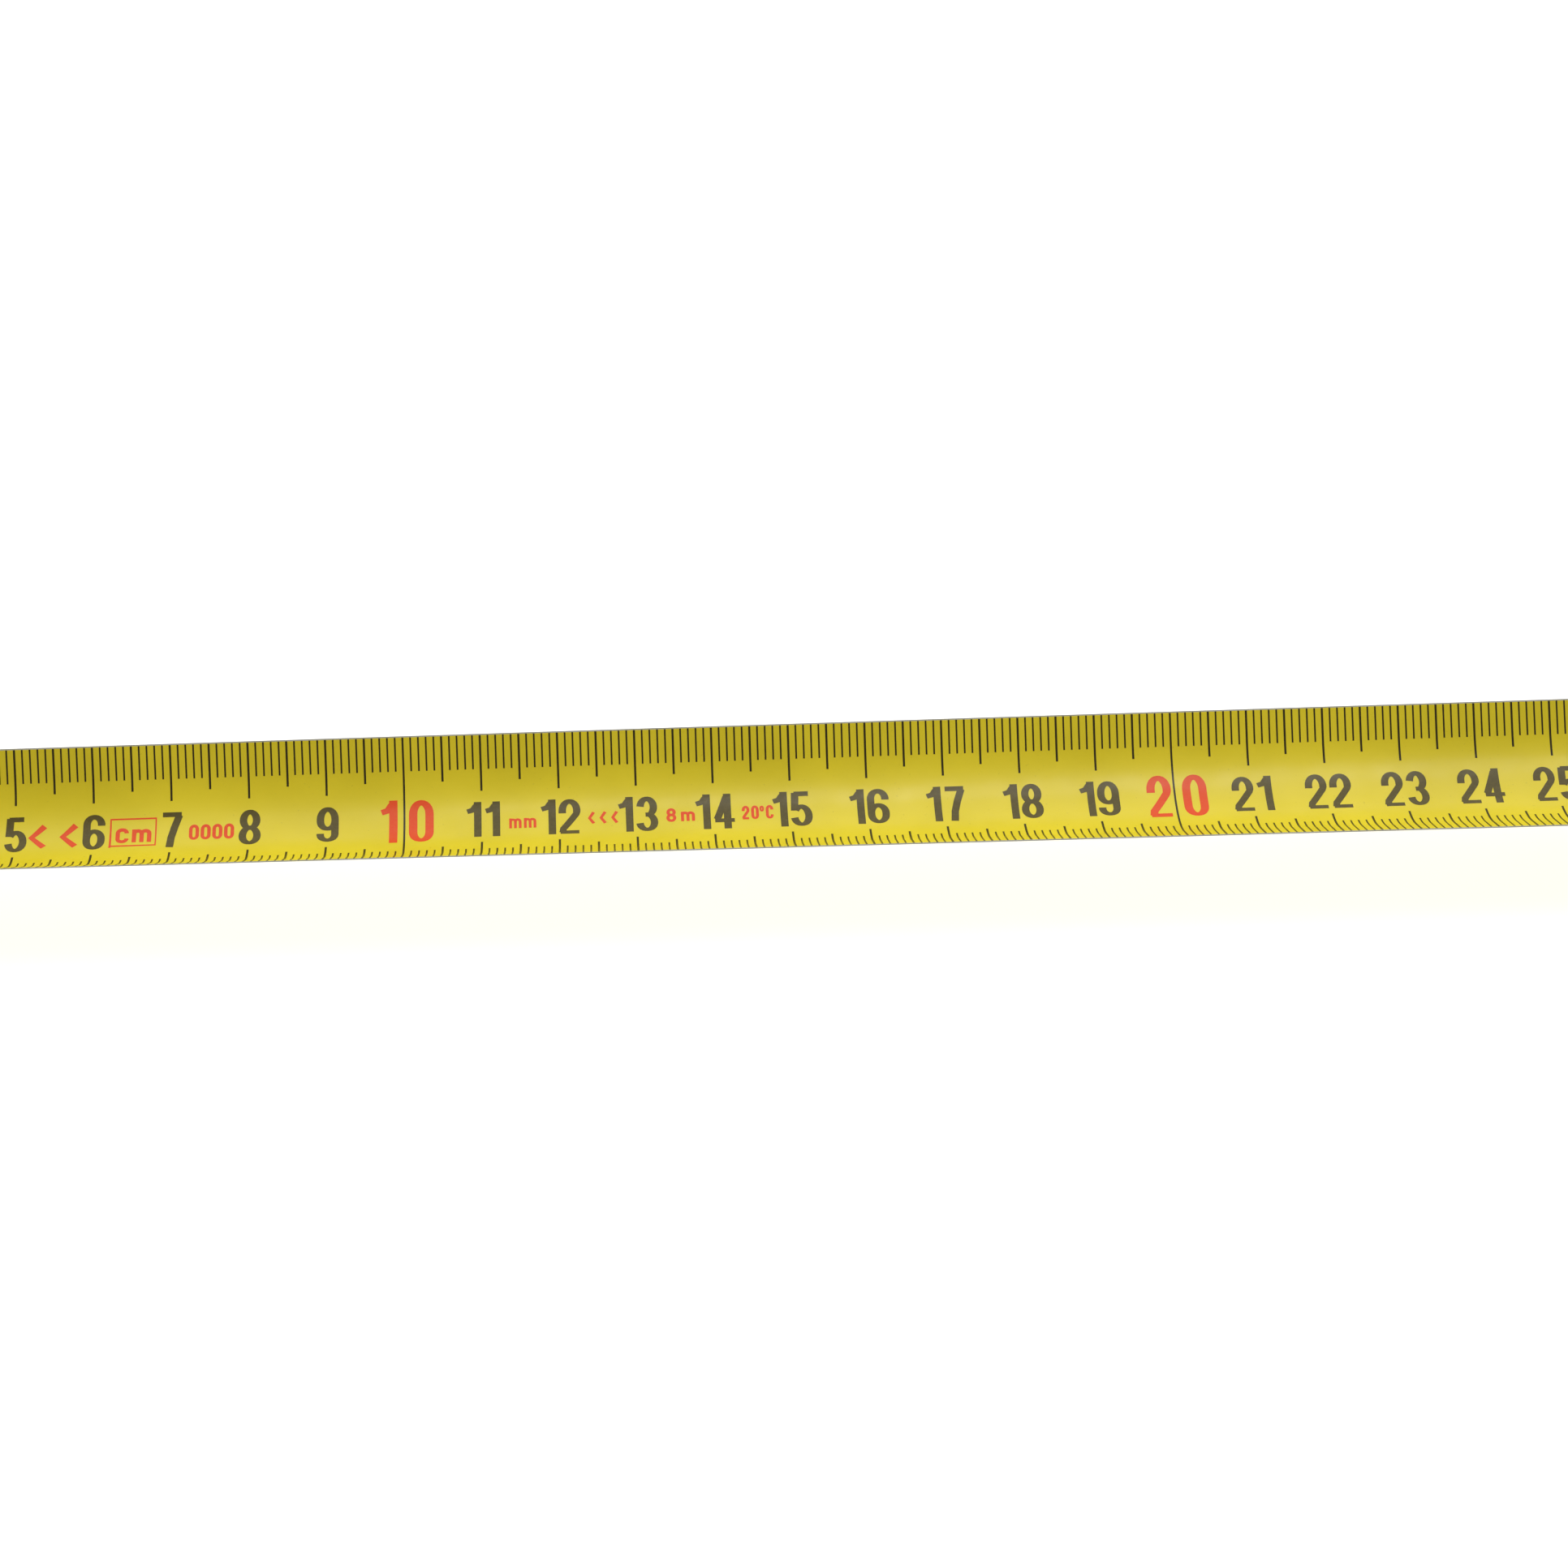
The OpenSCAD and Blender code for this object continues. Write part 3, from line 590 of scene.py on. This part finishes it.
def figures(flat, number, low, high, width, gap, shift):
    """A number centred on its own mark, but for a shift."""
    text = str(number)
    widths = [width * (ONE_SHARE if c == "1" else 1) for c in text]
    s = number * 10 + shift - (sum(widths) + gap * (len(text) - 1)) / 2
    for c, w in zip(text, widths):
        stamp(flat, c, s, s + w, low, high, width * STEM_SHARE, width * LEVEL_SHARE)
        s += w + gap


black_figures, red_figures = bmesh.new(), bmesh.new()
for number in range(FIRST_FIGURE, LAST_MARK // 10 + 1):
    if number % 10 == 0:
        figures(red_figures, number, DECIMETRE_LOW, DECIMETRE_HIGH, DECIMETRE_FIGURE_WIDTH,
                DECIMETRE_FIGURE_GAP, DECIMETRE_FIGURE_SHIFT)
    else:
        figures(black_figures, number, FIGURE_LOW, FIGURE_HIGH, FIGURE_WIDTH, FIGURE_GAP, FIGURE_SHIFT)
printed_on_blade("centimetre_figures", black_figures, black_ink)
printed_on_blade("decimetre_figures", red_figures, red_ink)

# Small red notes stand between the figures: two arrowheads, boxed units, noughts, the nominal
# length and the temperature at which the scale is true.
BIG_NOTE, BOXED_NOTE, SMALL_NOTE = (-2.0, 2.4), (-1.3, 1.9), (-1.1, 1.5)
LOW_NOTE, MID_NOTE = (-1.0, 1.4), (-0.75, 1.55)
RED_NOTES = (
    ("arrow", 51.5, 54.4, BIG_NOTE, 0.85), ("arrow", 55.5, 58.4, BIG_NOTE, 0.85),
    ("box", 62.1, 68.2, (-2.0, 2.8), 0.30),
    ("C", 62.9, 64.6, (-1.3, 1.3), 0.56), ("m", 65.0, 67.5, BOXED_NOTE, 0.56),
    ("0", 72.3, 73.6, SMALL_NOTE, 0.46), ("0", 73.8, 75.1, SMALL_NOTE, 0.46),
    ("0", 75.3, 76.6, SMALL_NOTE, 0.46), ("0", 76.8, 78.1, SMALL_NOTE, 0.46),
    ("m", 113.5, 115.1, LOW_NOTE, 0.36), ("m", 115.4, 117.0, LOW_NOTE, 0.36),
    ("arrow", 123.6, 124.7, MID_NOTE, 0.42), ("arrow", 125.1, 126.2, MID_NOTE, 0.42),
    ("arrow", 126.6, 127.7, MID_NOTE, 0.42),
    ("8", 133.8, 135.1, MID_NOTE, 0.42), ("m", 135.7, 137.5, MID_NOTE, 0.40),
    ("2", 143.6, 144.6, MID_NOTE, 0.38), ("0", 144.8, 145.8, MID_NOTE, 0.38),
    ("\u00b0", 145.9, 146.5, MID_NOTE, 0.26), ("C", 146.7, 147.7, MID_NOTE, 0.38),
)
notes = bmesh.new()
for sign, s0, s1, (u0, u1), stem in RED_NOTES:
    stamp(notes, sign, s0, s1, u0, u1, stem, stem)
printed_on_blade("red_notes", notes, red_ink)


# ---- End hook ----
# A pressed steel hook with a nail hole, zinc plated. It slides by its own thickness on its
# rivets, so that it reads true both hooked over an edge and pushed against a wall.

ZINC = (0.62, 0.62, 0.63, 1)
STREAK_MM = (6, 0.25, 0.25)
DULL_SHARE = 0.86


def plated(name, tint=ZINC):
    steel = Finish(name, Metallic=1.0)
    stretch = steel.node("ShaderNodeMapping", {}, {
        "Vector": steel.place(), "Scale": tuple(1 / n for n in STREAK_MM)})
    streaks = steel.noise(1000, 4, stretch)
    dull = tuple(c * DULL_SHARE for c in tint[:3]) + (1,)
    steel.feed("Base Color", steel.mix(steel.spread(steel.noise(4), 0.35, 0.7), tint, dull))
    steel.feed("Roughness", steel.ranging(streaks, 0.26, 0.44))
    steel.bump(streaks, 0.01, 0.5)
    return steel.material


WELD_M = 1e-6
SHARP_FROM_DEG = 35


def dress(node, material, edge_mm=0.0):
    """Gives a CAD node its finish, and breaks its sharp edges as the maker does."""
    piece = frame["nodes"][node]
    piece.data.materials.clear()
    piece.data.materials.append(material)
    if edge_mm:
        weld = piece.modifiers.new("weld", "WELD")
        weld.merge_threshold = WELD_M
        bevel = piece.modifiers.new("broken_edges", "BEVEL")
        bevel.width = edge_mm * MM
        bevel.segments = 2
        bevel.limit_method = "ANGLE"
        bevel.angle_limit = math.radians(SHARP_FROM_DEG)
        bevel.harden_normals = True


plated_steel = plated("zinc_plated_steel")
dress("end_hook", plated_steel, 0.15)


# ---- Hook rivets ----
# Three turned steel pins with domed heads, set through the blade's end. Their profile goes down
# the side from the top: [radius, height above the blade's underside].

RIVET_PROFILE = ((0, 1.06), (0.55, 1.035), (1.05, 0.955), (1.50, 0.82), (1.85, 0.62),
                 (2.06, 0.38), (2.1, 0.20), (1.1, 0.20), (1.1, -1.14), (2.1, -1.14),
                 (2.06, -1.3), (1.7, -1.5), (1.1, -1.66), (0, -1.72))
RIVET_SPOTS = ((6.2, -21), (6.2, 21), (11.2, 0))
LATHE_STEPS = 32
METAL_CREASE_DEG = 40


def lathe(mesh, profile, point):
    """Turns a profile about its own axis; point gives the place of (x, y, height)."""
    rings = []
    for r, h in profile:
        if r == 0:
            rings.append([mesh.verts.new(point(0, 0, h))])
            continue
        angles = [math.tau * i / LATHE_STEPS for i in range(LATHE_STEPS)]
        rings.append([mesh.verts.new(point(r * math.cos(a), r * math.sin(a), h)) for a in angles])
    for upper, lower in zip(rings, rings[1:]):
        for i in range(LATHE_STEPS):
            j = (i + 1) % LATHE_STEPS
            if len(upper) == 1:
                mesh.faces.new((upper[0], lower[i], lower[j]))
            elif len(lower) == 1:
                mesh.faces.new((upper[i], lower[0], upper[j]))
            else:
                mesh.faces.new((upper[i], lower[i], lower[j], upper[j]))


def finished(name, mesh, material):
    """A bmesh made into an object with smooth faces and crisp creases."""
    bmesh.ops.recalc_face_normals(mesh, faces=mesh.faces)
    for face in mesh.faces:
        face.smooth = True
    for edge in mesh.edges:
        edge.smooth = not (edge.is_manifold and edge.calc_face_angle(0) > math.radians(METAL_CREASE_DEG))
    made = bpy.data.meshes.new(name)
    mesh.to_mesh(made)
    mesh.free()
    made.materials.append(material)
    piece = bpy.data.objects.new(name, made)
    bpy.context.scene.collection.objects.link(piece)
    return piece


rivet_mesh = bmesh.new()
for s, degrees in RIVET_SPOTS:
    angle = math.radians(degrees)
    foot = on_blade(s, angle / CURL, 0, CURL)
    lathe(rivet_mesh, RIVET_PROFILE, lambda x, y, h: foot + Vector((
        x, y * math.cos(angle) - h * math.sin(angle), y * math.sin(angle) + h * math.cos(angle))) * MM)
rivets = finished("domed_rivets", rivet_mesh, plated_steel)
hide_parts("hook_rivets")
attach(rivets, "blade_run")


# ---- Case shells and screws ----
# Two shells moulded in yellow plastic with a fine grain. They meet at the middle of the case
# and are held by four plated screws, driven from the belt clip's side.

def moulded(name, colour, worn, grain_mm, grain_height_mm, roughness):
    plastic = Finish(name)
    wear = plastic.spread(plastic.noise(9, 5), 0.4, 0.75, 0, 0.5)
    plastic.feed("Base Color", plastic.mix(wear, colour, worn))
    shine = plastic.noise(2.5, 4)
    plastic.feed("Roughness", plastic.ranging(shine, roughness - 0.06, roughness + 0.08))
    plastic.bump(plastic.noise(grain_mm, 2), grain_height_mm)
    return plastic.material


shell_yellow = moulded("yellow_shell", (0.80, 0.52, 0.02, 1), (0.66, 0.43, 0.03, 1), 0.35, 0.05, 0.38)
for node in ("case_left", "case_right"):
    dress(node, shell_yellow, 0.3)
SMALL_EDGE_MM = 0.12
dress("case_screws", plated_steel, SMALL_EDGE_MM)


# ---- Rubber grips ----
# Soft black rubber moulded over the rims of both shells, matt and a little dusty, with finger
# grooves at the back. A block of the same rubber in the mouth stops the hook.

rubber = moulded("black_rubber", (0.016, 0.016, 0.018, 1), (0.040, 0.040, 0.040, 1), 0.3, 0.06, 0.62)
for node in ("grip_left", "grip_right"):
    dress(node, rubber, 0.22)
dress("hook_bumper", rubber)


# ---- Mouth ----
# A guide over the blade and a bed under it, moulded in black nylon and trapped between the
# shells. They keep the blade's curl square as it runs out.

nylon = moulded("black_nylon", (0.03, 0.03, 0.032, 1), (0.05, 0.05, 0.05, 1), 0.6, 0.03, 0.45)
for node in ("mouth_guide", "blade_bed"):
    dress(node, nylon)


# ---- Reel ----
# A nylon drum with two flanges turns on a fixed steel post. The blade is wound on it, riveted
# by its tail to a blued steel power spring inside.

for node in ("reel_drum", "reel_cover"):
    dress(node, nylon)
for node in ("arbor", "arbor_screw", "tail_rivet"):
    dress(node, plated_steel, SMALL_EDGE_MM)
spring_steel = plated("blued_spring_steel", (0.16, 0.17, 0.20, 1))
dress("return_spring", spring_steel)
dress("blade_coil", yellow)


# ---- Lock ----
# A red thumb button on the sloped brow works a nylon lever with a rubber pad, which presses the
# blade on its bed. A leaf spring lifts it again.

red_button = moulded("red_button", (0.50, 0.02, 0.012, 1), (0.42, 0.03, 0.02, 1), 0.35, 0.04, 0.34)
dress("lock_button", red_button, 0.3)
dress("brake_lever", nylon)
dress("brake_pad", rubber)
dress("lock_spring", spring_steel)


# ---- Belt clip ----
# One strip of plated spring steel, screwed to the case by its flat end. The arm springs out
# from the fold for a belt and in again at its foot, which is turned out to let the belt in.

for node in ("clip_tab", "clip_screw", "belt_clip"):
    dress(node, plated_steel, SMALL_EDGE_MM)

CLIP_THICKNESS = 1.0
FOLD_LOW, FOLD_HIGH = -0.9, 1.9
FOLD_PROUD = 0.03
FOLD_SUNK = 0.02
FOLD_STEPS = 14
TAB_ABOVE_FOLD, ARM_BELOW_FOLD = 0.8, 0.1
STEP_OUT_FROM, STEP_OUT_TO = -0.3, 0.9
FLARE_BELOW, FLARE = -0.2, 0.9
tab_low, tab_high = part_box("clip_tab")
arm_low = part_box("belt_clip")[0]
fold_z = tab_low.z / MM - TAB_ABOVE_FOLD
arm_half = (tab_high.x - tab_low.x) / 2 / MM
inner_arm, outer_arm = arm_low.y / MM, arm_low.y / MM + CLIP_THICKNESS
inner_tab, outer_tab = tab_low.y / MM, tab_high.y / MM
fold_mesh = bmesh.new()
rings = []
for i in range(FOLD_STEPS + 1):
    z = FOLD_LOW + (FOLD_HIGH - FOLD_LOW) * i / FOLD_STEPS
    share = fade(z, STEP_OUT_FROM, STEP_OUT_TO)
    near = inner_arm + FOLD_SUNK + (inner_tab - inner_arm) * share
    far = outer_arm + FOLD_PROUD + (outer_tab - outer_arm) * share + max(0, FLARE_BELOW - z) * FLARE
    rings.append([fold_mesh.verts.new(Vector((x, y, fold_z + z)) * MM)
                  for x, y in ((-arm_half, near), (arm_half, near), (arm_half, far), (-arm_half, far))])
for lower, upper in zip(rings, rings[1:]):
    for i in range(4):
        j = (i + 1) % 4
        fold_mesh.faces.new((lower[i], lower[j], upper[j], upper[i]))
fold_mesh.faces.new(rings[0][::-1])
fold_mesh.faces.new(rings[-1])
fold = finished("clip_fold", fold_mesh, plated_steel)
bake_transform(fold)


# ---- Label ----
# A die-cut disc of printed foil stuck in its recess over the reel. It shows the length of
# the blade inside a ring of plain marks, and its edge is a bare silver rim.

LABEL_RING, LABEL_FIELD = 16.4, 12.2
MARKS_FROM, MARKS_TO = 13.4, 15.5
LABEL_MARKS = 48
MARK_START, MARK_SHARE = 0.25, 0.5
FOIL_SHINE = 0.9
label_low, label_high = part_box("label")
label_middle = (label_low + label_high) / 2 / MM

foil = Finish("printed_foil", Coat_Roughness=0.15)
across = foil.node("ShaderNodeSeparateXYZ", {}, {0: foil.place()}, 0) / MM - label_middle.x
up = foil.node("ShaderNodeSeparateXYZ", {}, {0: foil.place()}, 2) / MM - label_middle.z
radius = (across * across + up * up) ** 0.5
bearing = foil.node("ShaderNodeMath", {"operation": "ARCTAN2"}, {0: up, 1: across})
mark = (bearing * (LABEL_MARKS / math.tau) + MARK_START) % 1 > 1 - MARK_SHARE
dark = (0.012, 0.012, 0.014, 1)
silver = (0.60, 0.60, 0.61, 1)
grime = foil.spread(foil.noise(5, 5), 0.45, 0.8, 0, 0.4)
field = foil.mix(grime, (0.80, 0.56, 0.02, 1), (0.62, 0.44, 0.03, 1))
ringed = foil.mix(radius > LABEL_FIELD, field, dark)
marks = (radius > MARKS_FROM) * (radius < MARKS_TO) * mark
ringed = foil.mix(marks, ringed, silver)
foil.feed("Base Color", foil.mix(radius > LABEL_RING, ringed, silver))
foil.feed("Metallic", (radius > LABEL_RING) * FOIL_SHINE)
foil.feed("Roughness", foil.ranging(foil.noise(3, 4), 0.26, 0.40))
foil.bump(foil.noise(1.2, 3), 0.01)
dress("label", foil.material, 0.05)

# Each sign with its left, right, foot and top, then the widths of its upright and level strokes.
LENGTH_SIGNS = (("8", -7.2, -1.6, -4.2, 4.2, 1.9, 1.5), ("m", 0.4, 8.0, -4.2, 4.4, 1.7, 1.5))


def over_label(x, z, lift):
    return Vector((label_middle.x + x, label_low.y / MM - lift, label_middle.z + z)) * MM


length_print = bmesh.new()
for sign, x0, x1, z0, z1, upright, level in LENGTH_SIGNS:
    stamp(length_print, sign, x0, x1, z0, z1, upright, level)
length_on_label = printed("length_on_label", length_print, black_ink, over_label)
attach(length_on_label, "case")
